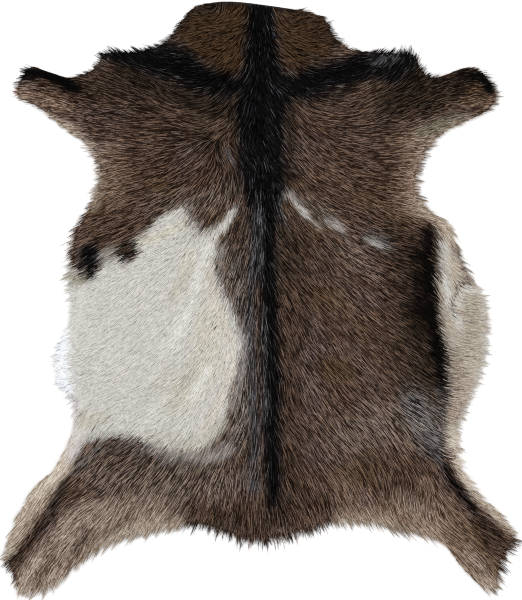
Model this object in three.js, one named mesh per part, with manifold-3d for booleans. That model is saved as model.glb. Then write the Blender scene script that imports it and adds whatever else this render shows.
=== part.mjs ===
// A whole goatskin with its hair on, laid out flat, hair side up.
// Millimetres. The leather lies on Z = 0, +Y runs to the neck, +X to the hide's right as seen from above.
import * as THREE from "three";
import { mergeVertices } from "three/addons/utils/BufferGeometryUtils.js";
import Module from "manifold-3d";

const wasm = await Module();
wasm.setup();

// Driving dimensions of the coat
const HIDE_WIDTH = 830;
const HIDE_LENGTH = 956;
const COAT_HEIGHT = 10.5;
const RIM_HEIGHT = 4;
const RIM_FADE = 36;
const FOLD_SHARE_AT_RIM = 0.4;
const LEAST_HEIGHT = 3;
const LUMP_PITCH = 21;
const COAT_COLOUR = "#4b3a30";

// Driving dimensions of the locks along the rim
const LOCK_SPACING = 14.5;
const LOCK_WIDTH = 10;
const LOCK_ROOT_DEPTH = 9;
const LOCK_ROOT_HEIGHT = 3.4;
const LOCK_MIDDLE = { along: 0.5, width: 0.62, height: 2.6 };
const LOCK_TIP = { width: 1.4, height: 1 };
const LOCK_WIDTH_ALONG_RIM = 0.35;
const LOCK_VARIATION = { place: 0.15, reach: 0.35, width: 0.15, bend: 0.15 };
const SHORTEST_LOCK = 2.5;

// Rim of the hide, one table for each part of the animal, going round by the hide's left side.
// Columns: x, y, direction in which the hair lies there (0 is +X, 90 is +Y), reach of its locks.
const NECK = [
  [0, 473, 270, 0],
  [-64, 478, 265, 0],
  [-107, 468, 220, 3],
  [-131, 444, 205, 6],
  [-154, 412, 170, 8],
];
const LEFT_SHOULDER = [
  [-198, 397, 150, 12],
  [-251, 394, 138, 17],
  [-267, 372, 160, 14],
  [-303, 356, 175, 8],
];
const LEFT_FORELEG = [
  [-342, 366, 172, 6],
  [-370, 373, 165, 6],
  [-389, 346, 185, 10],
  [-392, 326, 195, 9],
  [-355, 305, 185, 7],
  [-303, 264, 180, 7],
  [-272, 240, 182, 9],
];
const LEFT_FLANK = [
  [-259, 198, 188, 10],
  [-273, 153, 198, 10],
  [-301, 98, 205, 12],
  [-304, 38, 205, 14],
  [-298, -20, 212, 10],
  [-322, -81, 205, 7],
  [-322, -129, 205, 7],
  [-294, -167, 225, 7],
  [-309, -225, 240, 7],
  [-328, -266, 232, 8],
];
const LEFT_HIND_LEG = [
  [-363, -298, 220, 9],
  [-392, -355, 225, 10],
  [-409, -410, 215, 7],
  [-394, -445, 232, 10],
  [-380, -467, 245, 9],
  [-333, -455, 250, 12],
  [-266, -399, 245, 12],
];
const RUMP = [
  [-205, -375, 240, 12],
  [-138, -361, 245, 10],
  [-93, -361, 255, 10],
  [-19, -383, 268, 12],
  [35, -378, 280, 12],
  [112, -354, 292, 10],
  [163, -354, 292, 9],
  [240, -373, 308, 12],
  [284, -386, 315, 10],
];
const RIGHT_HIND_LEG = [
  [324, -435, 308, 10],
  [362, -464, 305, 11],
  [377, -448, 310, 10],
  [383, -415, 325, 12],
  [403, -386, 340, 11],
  [384, -348, 335, 8],
  [336, -300, 335, 8],
  [310, -244, 340, 7],
];
const RIGHT_FLANK = [
  [313, -193, 345, 8],
  [344, -119, 352, 8],
  [357, -49, 356, 8],
  [348, 5, 0, 8],
  [325, 48, 335, 10],
  [298, 119, 340, 12],
  [257, 150, 345, 10],
  [246, 191, 352, 10],
  [261, 236, 0, 10],
];
const RIGHT_FORELEG = [
  [298, 271, 8, 9],
  [354, 297, 10, 8],
  [376, 324, 2, 10],
  [360, 355, 12, 8],
  [330, 373, 20, 7],
  [278, 356, 20, 8],
];
const RIGHT_SHOULDER = [
  [244, 389, 70, 15],
  [189, 396, 48, 12],
  [141, 401, 28, 9],
  [113, 425, 350, 7],
  [91, 456, 330, 4],
];

// Folds and swells in the lying hide: a line that the crest follows, the half width over which it
// dies away, and its rise over the coat, which is below zero for a crease.
const FOLDS = [
  { name: "spine", line: [[0, 450], [2, 60], [10, -350]], spread: 34, rise: 2.6 },
  { name: "left belly swell", line: [[-306, -60], [-312, -135]], spread: 24, rise: 2.4 },
  { name: "left flank crease", line: [[-282, -165], [-290, -225], [-312, -282]], spread: 15, rise: -3 },
  { name: "right belly roll", line: [[338, 2], [345, -60], [332, -135], [308, -190]], spread: 26, rise: 3.6 },
  { name: "right belly crease", line: [[309, 30], [342, 30]], spread: 15, rise: -2.5 },
];

// Long swells of the leather and small clumps of the coat: how far apart they lie and their rise.
const UNEVENNESS = [
  { name: "swells", pitch: 120, rise: 1.7 },
  { name: "clumps", pitch: 37, rise: 1.6 },
];

const RIM = [
  ...NECK, ...LEFT_SHOULDER, ...LEFT_FORELEG, ...LEFT_FLANK, ...LEFT_HIND_LEG,
  ...RUMP, ...RIGHT_HIND_LEG, ...RIGHT_FLANK, ...RIGHT_FORELEG, ...RIGHT_SHOULDER,
].map(([x, y, hair, reach]) => ({ x, y, hair, reach }));
const RIM_STEPS_PER_ROW = 3;

const rimCurve = new THREE.CatmullRomCurve3(
  RIM.map((row) => new THREE.Vector3(row.x, row.y, 0)), true, "catmullrom", 0.5,
);
const rimPoints = rimCurve.getPoints(RIM.length * RIM_STEPS_PER_ROW).slice(0, -1);

// A repeatable number from -1 to 1 for an index and a kind of variation
function chance(index, kind) {
  const value = Math.sin(index * 12.9898 + kind * 78.233) * 43758.5453;
  return 2 * (value - Math.floor(value)) - 1;
}

function direction(degrees) {
  const angle = THREE.MathUtils.degToRad(degrees);
  return new THREE.Vector3(Math.cos(angle), Math.sin(angle), 0);
}

// Repeatable uneven ground from -1 to 1, smooth between random values at corners a pitch apart
function uneven(x, y, pitch) {
  const column = Math.floor(x / pitch);
  const row = Math.floor(y / pitch);
  const across = THREE.MathUtils.smoothstep(x / pitch - column, 0, 1);
  const up = THREE.MathUtils.smoothstep(y / pitch - row, 0, 1);
  const corner = (i, j) => chance((column + i) * 31 + (row + j) * 17, pitch);
  const near = THREE.MathUtils.lerp(corner(0, 0), corner(1, 0), across);
  const far = THREE.MathUtils.lerp(corner(0, 1), corner(1, 1), across);
  return THREE.MathUtils.lerp(near, far, up);
}

function distanceToLine(point, line) {
  const segment = new THREE.Line3();
  const nearest = new THREE.Vector3();
  let distance = Infinity;
  for (let i = 1; i < line.length; i += 1) {
    segment.set(line[i - 1], line[i]);
    segment.closestPointToPoint(point, true, nearest);
    distance = Math.min(distance, nearest.distanceTo(point));
  }
  return distance;
}

const closedRim = [...rimPoints, rimPoints[0]];
const foldLines = FOLDS.map((fold) => ({
  ...fold,
  line: fold.line.map(([x, y]) => new THREE.Vector3(x, y, 0)),
}));

// Height of the coat: thin at the rim, full inside, with its folds, swells and clumps
function coatHeight(x, y) {
  const point = new THREE.Vector3(x, y, 0);
  const inside = THREE.MathUtils.smoothstep(distanceToLine(point, closedRim), 0, RIM_FADE);
  let swell = 0;
  for (const { pitch, rise } of UNEVENNESS) {
    swell += rise * uneven(x, y, pitch);
  }
  let fold = 0;
  for (const { line, spread, rise } of foldLines) {
    fold += rise * Math.exp(-((distanceToLine(point, line) / spread) ** 2));
  }
  const foldShare = THREE.MathUtils.lerp(FOLD_SHARE_AT_RIM, 1, inside);
  const height = RIM_HEIGHT + (COAT_HEIGHT - RIM_HEIGHT + swell) * inside + fold * foldShare;
  return Math.max(height, LEAST_HEIGHT);
}

// A three.js geometry as a solid that can be joined and cut
function solidOf(geometry) {
  const bare = new THREE.BufferGeometry();
  bare.setAttribute("position", geometry.getAttribute("position"));
  bare.setIndex(geometry.getIndex());
  const merged = mergeVertices(bare);
  return new wasm.Manifold(new wasm.Mesh({
    numProp: 3,
    vertProperties: new Float32Array(merged.getAttribute("position").array),
    triVerts: new Uint32Array(merged.getIndex().array),
  }));
}

function geometryOf(solid) {
  const mesh = solid.getMesh();
  const geometry = new THREE.BufferGeometry();
  geometry.setAttribute("position", new THREE.BufferAttribute(mesh.vertProperties, 3));
  geometry.setIndex(new THREE.BufferAttribute(mesh.triVerts, 1));
  geometry.computeVertexNormals();
  return geometry;
}

// A block larger than the hide that starts below the floor, its top raised to the coat's height
function coatBlock() {
  const margin = 2 * LUMP_PITCH;
  const width = HIDE_WIDTH + margin;
  const length = HIDE_LENGTH + margin;
  const columns = Math.round(width / LUMP_PITCH);
  const rows = Math.round(length / LUMP_PITCH);
  const block = new THREE.BoxGeometry(width, length, COAT_HEIGHT, columns, rows, 1);
  const corners = block.getAttribute("position");
  for (let i = 0; i < corners.count; i += 1) {
    if (corners.getZ(i) > 0) {
      corners.setZ(i, coatHeight(corners.getX(i), corners.getY(i)));
    }
  }
  return solidOf(block);
}

// The hide's outline drawn straight up from the floor, past the top of the coat
function outlinePrism() {
  const shape = new THREE.Shape(rimPoints.map((point) => new THREE.Vector2(point.x, point.y)));
  const depth = 3 * COAT_HEIGHT;
  return solidOf(new THREE.ExtrudeGeometry(shape, { depth, bevelEnabled: false }));
}

// The rim at a share of the way round: its place, the way out of the hide, and its row's values
function rimAt(share) {
  const turn = rimCurve.getUtoTmapping(share);
  const along = turn * RIM.length;
  const before = RIM[Math.floor(along) % RIM.length];
  const after = RIM[(Math.floor(along) + 1) % RIM.length];
  const blend = along - Math.floor(along);
  const tangent = rimCurve.getTangent(turn);
  return {
    place: rimCurve.getPoint(turn),
    outward: new THREE.Vector3(tangent.y, -tangent.x, 0),
    hair: direction(before.hair).lerp(direction(after.hair), blend).normalize(),
    reach: THREE.MathUtils.lerp(before.reach, after.reach, blend),
  };
}

// A three-sided lock from its root inside the rim to its tip, flat below, with a ridge along its top
function lockSolid(sections) {
  const corners = [];
  for (const { place, side, width, height } of sections) {
    const left = place.clone().addScaledVector(side, width / 2);
    const right = place.clone().addScaledVector(side, -width / 2);
    corners.push(left.x, left.y, 0, right.x, right.y, 0, place.x, place.y, height);
  }
  const faces = [0, 1, 2];
  for (let ring = 0; ring < sections.length - 1; ring += 1) {
    for (let corner = 0; corner < 3; corner += 1) {
      const here = ring * 3 + corner;
      const next = ring * 3 + ((corner + 1) % 3);
      faces.push(here, here + 3, next, next, here + 3, next + 3);
    }
  }
  const last = (sections.length - 1) * 3;
  faces.push(last, last + 2, last + 1);
  const geometry = new THREE.BufferGeometry();
  geometry.setAttribute("position", new THREE.Float32BufferAttribute(corners, 3));
  geometry.setIndex(faces);
  return solidOf(geometry);
}

// Locks stand side by side round the rim, each along the hair there, none where hair lies inward
function rimLocks() {
  const count = Math.floor(rimCurve.getLength() / LOCK_SPACING);
  const locks = [];
  for (let i = 0; i < count; i += 1) {
    const share = (i + 0.5 + LOCK_VARIATION.place * chance(i, 1)) / count;
    const { place, outward, hair, reach } = rimAt(share);
    const facing = hair.dot(outward);
    const length = reach * (1 + LOCK_VARIATION.reach * chance(i, 2));
    if (facing * length < SHORTEST_LOCK) {
      continue;
    }
    const facingWidth = LOCK_WIDTH * THREE.MathUtils.lerp(LOCK_WIDTH_ALONG_RIM, 1, facing);
    const width = facingWidth * (1 + LOCK_VARIATION.width * chance(i, 3));
    const bend = length * LOCK_VARIATION.bend * chance(i, 4);
    const side = new THREE.Vector3(-hair.y, hair.x, 0);
    const root = place.clone().addScaledVector(outward, -LOCK_ROOT_DEPTH);
    const middle = place.clone().addScaledVector(hair, length * LOCK_MIDDLE.along);
    const tip = place.clone().addScaledVector(hair, length).addScaledVector(side, bend);
    locks.push(lockSolid([
      { place: root, side, width, height: LOCK_ROOT_HEIGHT },
      { place: middle, side, width: width * LOCK_MIDDLE.width, height: LOCK_MIDDLE.height },
      { place: tip, side, width: LOCK_TIP.width, height: LOCK_TIP.height },
    ]));
  }
  return locks;
}

let hide = coatBlock().intersect(outlinePrism());
for (const lock of rimLocks()) {
  hide = hide.add(lock);
}

const coat = new THREE.MeshStandardMaterial({ color: COAT_COLOUR, roughness: 0.85, metalness: 0 });
const goatskin = new THREE.Mesh(geometryOf(hide), coat);
goatskin.name = "goatskin";

const group = new THREE.Group();
group.add(goatskin);

export default group;
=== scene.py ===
# A whole goatskin with its hair on, laid out flat with the hair side up.
# Metres, +Z up, the neck towards +Y.
import bpy
import math
import numpy as np
from mathutils.geometry import delaunay_2d_cdt
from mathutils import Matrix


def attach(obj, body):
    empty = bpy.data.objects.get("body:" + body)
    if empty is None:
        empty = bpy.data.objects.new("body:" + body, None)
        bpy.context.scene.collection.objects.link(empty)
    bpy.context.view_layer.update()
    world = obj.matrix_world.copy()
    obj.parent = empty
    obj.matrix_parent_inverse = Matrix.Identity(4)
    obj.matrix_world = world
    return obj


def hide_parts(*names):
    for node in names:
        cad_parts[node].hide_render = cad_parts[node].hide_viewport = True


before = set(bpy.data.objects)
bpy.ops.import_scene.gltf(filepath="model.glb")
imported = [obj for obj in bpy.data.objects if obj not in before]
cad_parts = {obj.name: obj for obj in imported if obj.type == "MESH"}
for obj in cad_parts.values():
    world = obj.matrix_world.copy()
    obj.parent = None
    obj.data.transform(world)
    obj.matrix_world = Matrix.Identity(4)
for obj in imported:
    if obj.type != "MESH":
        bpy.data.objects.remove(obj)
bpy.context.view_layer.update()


# The tanned skin: one goat's hide, cut off at the neck and the knees, tanned soft with its hair left
# on. It lies on its suede flesh side, about 1.5 mm thick, and keeps a few soft swells and creases
# from the animal's belly and back. Everything else grows out of its upper face.
MM = 0.001
SKIN_THICKNESS = 0.0015
SKIN_EDGE_INSET = 0.0015
SKIN_FACE_SIZE = 0.009
# The leather lifts by this share of the folds, from nothing at the rim to all of it this far inside
SKIN_FOLD_SHARE = 0.45
SKIN_LIFT_WIDTH = 0.03
RIM_STEPS = 4
GRID_STEP = 0.0025
GRID_MARGIN = 0.03

# Rim of the hide, going round by the hide's left side, in millimetres.
# Columns: x, y, direction in which the hair lies there (0 is +X, 90 is +Y), reach of its locks.
NECK_RIM = [
    (0, 473, 270, 0), (-64, 478, 265, 0), (-107, 468, 220, 3), (-131, 444, 205, 6),
    (-154, 412, 170, 8),
]
LEFT_SHOULDER_RIM = [
    (-198, 397, 150, 12), (-251, 395, 138, 24), (-267, 372, 160, 14), (-303, 356, 175, 8),
]
LEFT_FORELEG_RIM = [
    (-342, 366, 168, 9), (-370, 373, 160, 9), (-389, 346, 185, 10), (-392, 326, 195, 9),
    (-355, 305, 185, 7), (-303, 264, 180, 7), (-272, 240, 182, 9),
]
LEFT_FLANK_RIM = [
    (-259, 198, 188, 10), (-273, 153, 198, 10), (-301, 98, 205, 12), (-304, 38, 205, 14),
    (-298, -20, 212, 10), (-322, -81, 205, 7), (-322, -129, 205, 7), (-294, -167, 225, 7),
    (-309, -225, 240, 7), (-328, -266, 232, 8),
]
LEFT_HIND_LEG_RIM = [
    (-363, -298, 220, 9), (-392, -355, 225, 10), (-409, -410, 215, 7), (-394, -445, 232, 10),
    (-380, -467, 245, 9), (-333, -455, 250, 12), (-266, -399, 245, 12),
]
RUMP_RIM = [
    (-205, -375, 240, 12), (-138, -361, 245, 10), (-93, -361, 255, 10), (-19, -383, 268, 12),
    (35, -378, 280, 12), (112, -354, 292, 10), (163, -354, 292, 9), (240, -373, 308, 12),
    (284, -386, 315, 10),
]
RIGHT_HIND_LEG_RIM = [
    (324, -435, 308, 10), (362, -464, 305, 11), (377, -448, 310, 10), (383, -415, 325, 12),
    (403, -386, 340, 11), (384, -348, 335, 8), (336, -300, 335, 8), (310, -244, 340, 7),
]
RIGHT_FLANK_RIM = [
    (313, -193, 345, 8), (344, -119, 352, 8), (357, -49, 356, 8), (348, 5, 0, 8),
    (325, 48, 335, 10), (298, 119, 340, 12), (257, 150, 345, 10), (246, 191, 352, 10),
    (261, 236, 0, 10),
]
RIGHT_FORELEG_RIM = [
    (298, 271, 8, 9), (354, 297, 10, 8), (376, 324, 2, 10), (360, 355, 12, 8),
    (330, 373, 20, 7), (278, 356, 20, 8),
]
RIGHT_SHOULDER_RIM = [
    (256, 367, 45, 6), (242, 391, 84, 30), (189, 396, 48, 15), (141, 401, 28, 9), (113, 425, 350, 7),
    (91, 456, 330, 4),
]
RIM_ROWS = (
    NECK_RIM + LEFT_SHOULDER_RIM + LEFT_FORELEG_RIM + LEFT_FLANK_RIM + LEFT_HIND_LEG_RIM
    + RUMP_RIM + RIGHT_HIND_LEG_RIM + RIGHT_FLANK_RIM + RIGHT_FORELEG_RIM + RIGHT_SHOULDER_RIM
)

# Folds and swells of the lying hide, in millimetres: the line of the crest, the half width over
# which it dies away, and its rise, below zero for a crease.
FOLDS = [
    ("spine", [(0, 450), (2, 60), (10, -350)], 34, 2.6),
    ("left belly swell", [(-306, -60), (-312, -135)], 24, 2.4),
    ("left flank crease", [(-282, -165), (-290, -225), (-312, -282)], 15, -3),
    ("right belly roll", [(338, 2), (345, -60), (332, -135), (308, -190)], 26, 3.6),
    ("right belly crease", [(309, 30), (342, 30)], 15, -2.5),
]
# Long swells of the leather and small clumps of the coat, in millimetres: pitch and rise
SWELLS = [(120, 1.7), (37, 1.6)]


def smooth(value, low, high):
    """A soft step from 0 at low to 1 at high"""
    share = np.clip((value - low) / (high - low), 0, 1)
    return share * share * (3 - 2 * share)


def chance(index, kind):
    """A repeatable number from -1 to 1 for an index and a kind of variation"""
    value = np.sin(index * 12.9898 + kind * 78.233) * 43758.5453
    return 2 * (value - np.floor(value)) - 1


# Neighbouring corners of uneven ground get indices this far apart, across and up
CORNER_STRIDES = (31, 17)


def uneven(x, y, pitch, kind):
    """Uneven ground from -1 to 1, smooth between repeatable values at corners a pitch apart"""
    column = np.floor(x / pitch)
    row = np.floor(y / pitch)
    across = smooth(x / pitch - column, 0, 1)
    up = smooth(y / pitch - row, 0, 1)

    def corner(i, j):
        return chance((column + i) * CORNER_STRIDES[0] + (row + j) * CORNER_STRIDES[1], kind)

    near = corner(0, 0) + (corner(1, 0) - corner(0, 0)) * across
    far = corner(0, 1) + (corner(1, 1) - corner(0, 1)) * across
    return near + (far - near) * up


def distance_to_line(x, y, line):
    """Distance from each place to a line of straight stretches"""
    nearest = np.full(np.shape(x), np.inf)
    for (x0, y0), (x1, y1) in zip(line[:-1], line[1:]):
        along_x, along_y = x1 - x0, y1 - y0
        length = max(along_x**2 + along_y**2, 1e-12)
        share = np.clip(((x - x0) * along_x + (y - y0) * along_y) / length, 0, 1)
        gap = np.hypot(x - x0 - share * along_x, y - y0 - share * along_y)
        nearest = np.minimum(nearest, gap)
    return nearest


def depth_inside(x, y, outline):
    """Distance from each place to a closed outline, above zero inside it"""
    closed = list(outline) + [outline[0]]
    inside = np.zeros(np.shape(x), bool)
    for (x0, y0), (x1, y1) in zip(closed[:-1], closed[1:]):
        if y0 == y1:
            continue
        crosses = ((y0 > y) != (y1 > y)) & (x < (x1 - x0) * (y - y0) / (y1 - y0) + x0)
        inside ^= crosses
    return np.where(inside, 1, -1) * distance_to_line(x, y, closed)


def closed_curve(points, steps):
    """A smooth closed curve through points, each stretch cut into steps"""
    points = np.asarray(points, float)
    before, after = np.roll(points, 1, 0), np.roll(points, -1, 0)
    beyond = np.roll(points, -2, 0)
    leave, arrive = (after - before) / 2, (beyond - points) / 2
    curve = []
    for i in range(len(points)):
        for t in np.arange(steps) / steps:
            curve.append(
                (2 * t**3 - 3 * t**2 + 1) * points[i] + (t**3 - 2 * t**2 + t) * leave[i]
                + (3 * t**2 - 2 * t**3) * after[i] + (t**3 - t**2) * arrive[i]
            )
    return np.array(curve)


rim = closed_curve([(x * MM, y * MM) for x, y, _, _ in RIM_ROWS], RIM_STEPS)

# The hide's fields are worked out once on an even grid and read between its corners
grid_low = rim.min(0) - GRID_MARGIN
grid_size = np.ceil((rim.max(0) + GRID_MARGIN - grid_low) / GRID_STEP).astype(int) + 1
grid_x, grid_y = np.meshgrid(
    grid_low[0] + np.arange(grid_size[0]) * GRID_STEP,
    grid_low[1] + np.arange(grid_size[1]) * GRID_STEP,
    indexing="ij",
)


def read(field, x, y, step=GRID_STEP):
    """A field's value at each place, worked out between the corners of its grid"""
    across = np.clip((x - grid_low[0]) / step, 0, field.shape[0] - 1.001)
    up = np.clip((y - grid_low[1]) / step, 0, field.shape[1] - 1.001)
    i, j = across.astype(int), up.astype(int)
    a, b = across - i, up - j
    if field.ndim == 3:
        a, b = a[..., None], b[..., None]
    return (
        field[i, j] * (1 - a) * (1 - b) + field[i + 1, j] * a * (1 - b)
        + field[i, j + 1] * (1 - a) * b + field[i + 1, j + 1] * a * b
    )


rim_depth = depth_inside(grid_x, grid_y, rim)
fold_rise = np.zeros_like(grid_x)
for _, fold_line, spread, rise in FOLDS:
    gap = distance_to_line(grid_x, grid_y, [(x * MM, y * MM) for x, y in fold_line])
    fold_rise += rise * MM * np.exp(-((gap / (spread * MM)) ** 2))
swell_rise = np.zeros_like(grid_x)
for pitch, rise in SWELLS:
    swell_rise += rise * MM * uneven(grid_x, grid_y, pitch * MM, pitch)
skin_lift = SKIN_FOLD_SHARE * np.clip(fold_rise + swell_rise, 0, None)
skin_lift *= smooth(rim_depth, 0, SKIN_LIFT_WIDTH)
skin_top = SKIN_THICKNESS + skin_lift


def linear(hex_colour):
    """An sRGB hex colour as linear red, green and blue"""
    levels = [int(hex_colour[i:i + 2], 16) / 255 for i in (1, 3, 5)]
    return [v / 12.92 if v <= 0.04045 else ((v + 0.055) / 1.055) ** 2.4 for v in levels]


# Hair colours, each from its darkest hairs to its lightest, and a bias, below zero where the light
# hairs are rare
HAIR = {
    "deep black": ("#010000", "#15100e", -1.6),
    # The light end of black is painted sheen: its rare light hairs stand for blue-grey highlights on
    # black hair.
    "black": ("#010101", "#6c6d73", -2.1),
    "stripe grey": ("#0a0a0b", "#aaa8a8", -0.5),
    # Blue grey is mostly painted sheen of the same kind, laid over black hair.
    "blue grey": ("#1d1c1e", "#aaa9ad", -0.2),
    "brown black": ("#070301", "#5b4a3e", -0.9),
    "dark brown": ("#140803", "#826a5a", -0.75),
    "warm brown": ("#1a0b02", "#68503a", -0.3),
    "mid brown": ("#1e0e05", "#997d6b", -0.65),
    "lilac brown": ("#1e0e09", "#a18c87", -0.65),
    "olive brown": ("#1f1005", "#8d7256", -0.6),
    "grey brown": ("#231610", "#bba798", -0.6),
    "tan": ("#493223", "#c6ab98", -0.25),
    "fawn": ("#5f4a3b", "#d4c2b3", -0.15),
    "olive fawn": ("#6b6553", "#bdb7a2", -0.1),
    "charcoal": ("#09090a", "#807e82", -0.62),
    "beige": ("#84725f", "#d9cdbe", -0.1),
    "ivory": ("#a09485", "#cbc1b4", 0),
    "cream": ("#b9ac9a", "#e9e1d5", 0),
    "white": ("#c1bfb8", "#d7d5cf", 0),
    "yellow white": ("#bcb6a3", "#dedac8", 0),
    # Shaded white is painted shade for the white's hollows and foot, and lit white is painted light
    # on locks that catch the lamp.
    "shaded white": ("#a8a497", "#cbc8bb", 0),
    "lit white": ("#d3d2cc", "#eae9e3", 0),
    "blue white": ("#d8dde2", "#f8fafc", 0.2),
    "bare grey": ("#b0aba8", "#dbd6d5", 0),
}
# Metres to one of the photograph's pixels, and the pixel that lies at the hide's origin
PIXEL = 0.0016
CENTRE_PIXEL = (262, 299.5)

# Markings of this animal's coat, painted one over another, read in the photograph's pixels.
# Columns: name, hair colour, half width of a stroke or 0 for a closed patch, softness of its edge,
# strength, points.
# A few of these marks are painted shade, painted highlights and painted sheen rather than hair
# colour.
NECK_MARKS = [
    ("left neck patch", "warm brown", 0, 8, 1,
     [(180, 5), (246, 0), (247, 60), (236, 78), (212, 72), (195, 58), (172, 36)]),
    ("right neck patch", "warm brown", 0, 8, 1,
     [(278, 5), (330, 8), (338, 38), (330, 58), (296, 74), (280, 60)]),
    ("cut edge of the neck", "brown black", 6, 10, 0.8,
     [(170, 36), (186, 12), (245, 2), (325, 10), (338, 42)]),
]
GROUND_MARKS = [
    ("shoulders", "dark brown", 0, 40, 0.25,
     [(70, 90), (120, 60), (400, 60), (440, 100), (400, 150), (330, 190), (210, 190), (120, 160)]),
    ("left shoulder, outer", "tan", 10, 26, 0.5, [(112, 150), (118, 176), (112, 198)]),
    ("left side, lilac", "grey brown", 8, 18, 0.7,
     [(150, 208), (180, 198), (205, 206), (228, 190)]),
    ("hairs between the white's peaks", "grey brown", 4, 10, 0.6, [(212, 194), (224, 208)]),
    ("right chest", "tan", 12, 30, 0.9, [(412, 142), (414, 170), (410, 204)]),
    ("right back", "dark brown", 12, 24, 0.5, [(300, 250), (304, 330)]),
    ("right side by the band", "dark brown", 14, 26, 0.85,
     [(392, 230), (394, 300), (404, 350), (410, 380)]),
    ("right of the stripe", "dark brown", 8, 18, 0.9, [(288, 250), (290, 400), (292, 480)]),
    ("right of the stripe, upper", "brown black", 7, 16, 0.55,
     [(290, 222), (295, 250), (295, 280)]),
    ("right loin, low", "grey brown", 20, 30, 0.6, [(346, 440), (372, 425), (400, 430)]),
    ("right thigh, low", "tan", 10, 24, 0.35, [(340, 486), (384, 512)]),
    ("left loin", "grey brown", 10, 18, 0.75, [(236, 230), (230, 280), (244, 330), (240, 430)]),
    ("left loin, upper", "dark brown", 8, 16, 0.75, [(240, 220), (235, 246), (240, 268)]),
    ("left thigh", "grey brown", 18, 30, 0.75, [(98, 474), (165, 484), (215, 484)]),
    ("left thigh, low", "fawn", 13, 24, 0.7, [(114, 510), (136, 512), (162, 510)]),
]
SHOULDER_MARKS = [
    ("left of the withers", "brown black", 6, 18, 0.8,
     [(222, 110), (236, 122), (238, 150), (238, 190)]),
    ("left band's corner", "deep black", 5, 12, 0.7, [(224, 103), (240, 112)]),
    ("right of the withers", "brown black", 6, 15, 0.9, [(291, 96), (292, 145), (289, 186)]),
    ("left shoulder, upper", "brown black", 10, 18, 0.8,
     [(92, 66), (84, 82), (104, 80), (140, 90)]),
    ("left shoulder, lilac", "lilac brown", 10, 22, 0.6, [(84, 112), (124, 112)]),
    ("left shoulder's shade", "dark brown", 12, 26, 0.7, [(100, 100), (150, 116), (190, 126)]),
    ("under the left band", "brown black", 10, 20, 0.95,
     [(120, 70), (160, 88), (200, 104), (232, 106)]),
    ("left band", "black", 0, 12, 0.95,
     [(90, 42), (112, 46), (140, 44), (166, 40), (184, 50), (200, 63), (216, 74), (240, 78),
      (242, 98), (222, 98), (200, 92), (180, 85), (150, 73), (120, 62), (97, 58)]),
    ("left band's heart", "deep black", 7, 12, 0.95, [(118, 54), (150, 60), (186, 74), (228, 84)]),
    ("right shoulder, upper", "brown black", 0, 18, 0.9,
     [(382, 84), (410, 58), (440, 70), (452, 96), (432, 112), (396, 116), (376, 104)]),
    ("right shoulder, lower", "dark brown", 8, 18, 0.5, [(372, 116), (412, 120)]),
    ("under the right band", "brown black", 6, 14, 0.9, [(288, 100), (320, 100), (344, 92)]),
    ("right shoulder's dark corner", "deep black", 5, 14, 0.6, [(402, 72), (422, 80)]),
    ("right band", "black", 0, 12, 0.95,
     [(275, 76), (300, 73), (330, 63), (360, 53), (380, 49), (414, 34), (420, 62), (400, 80),
      (370, 80), (340, 88), (320, 95), (286, 102)]),
    ("right band's heart", "deep black", 7, 12, 0.95, [(290, 88), (330, 78), (366, 66)]),
    ("right band sheen", "blue grey", 4, 10, 0.5, [(376, 62), (396, 54)]),
    ("right band fringe", "dark brown", 3, 8, 0.5, [(310, 62), (330, 56)]),
    ("whorl", "brown black", 5, 8, 0.8, [(199, 134), (208, 145), (216, 150)]),
    ("whorl wisp", "blue grey", 1.2, 3, 1, [(226, 152), (231, 158), (236, 168)]),
    ("left chest edge", "beige", 5, 14, 0.85, [(90, 148), (96, 175), (92, 203)]),
    ("right chest edge", "fawn", 5, 18, 0.85, [(428, 140), (421, 166), (421, 196)]),
]
FORELEG_MARKS = [
    ("left foreleg upper", "dark brown", 0, 14, 0.8,
     [(60, 68), (95, 62), (112, 70), (130, 88), (110, 102), (86, 104), (64, 94)]),
    ("left foreleg top", "deep black", 6, 6, 1, [(16, 74), (44, 73), (60, 80), (74, 90)]),
    ("left foreleg middle", "tan", 6, 8, 0.8, [(10, 93), (40, 99), (66, 108)]),
    ("left foreleg under edge", "fawn", 6, 12, 0.9, [(48, 120), (70, 130), (86, 148), (94, 166)]),
    ("left foreleg thin edge", "beige", 3.5, 8, 0.85, [(16, 103), (44, 116), (66, 132), (84, 147)]),
    ("right foreleg upper", "dark brown", 0, 12, 0.95,
     [(425, 76), (446, 78), (470, 84), (470, 98), (452, 104), (430, 108)]),
    ("right foreleg top", "deep black", 6, 6, 1, [(462, 74), (482, 77), (491, 88)]),
    ("right foreleg's inner top", "brown black", 5, 8, 0.9, [(436, 84), (466, 79)]),
    ("right foreleg's shade", "brown black", 6, 14, 0.6, [(440, 92), (462, 90)]),
    ("right foreleg middle", "tan", 5, 10, 0.5, [(466, 104), (494, 104)]),
    ("right foreleg end", "beige", 3, 7, 0.8, [(500, 92), (500, 108)]),
    ("right foreleg's olive", "olive fawn", 5, 12, 0.6, [(420, 134), (440, 124), (458, 118)]),
    ("right foreleg under edge", "beige", 3, 10, 0.8, [(434, 142), (444, 132), (470, 120)]),
]
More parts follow.
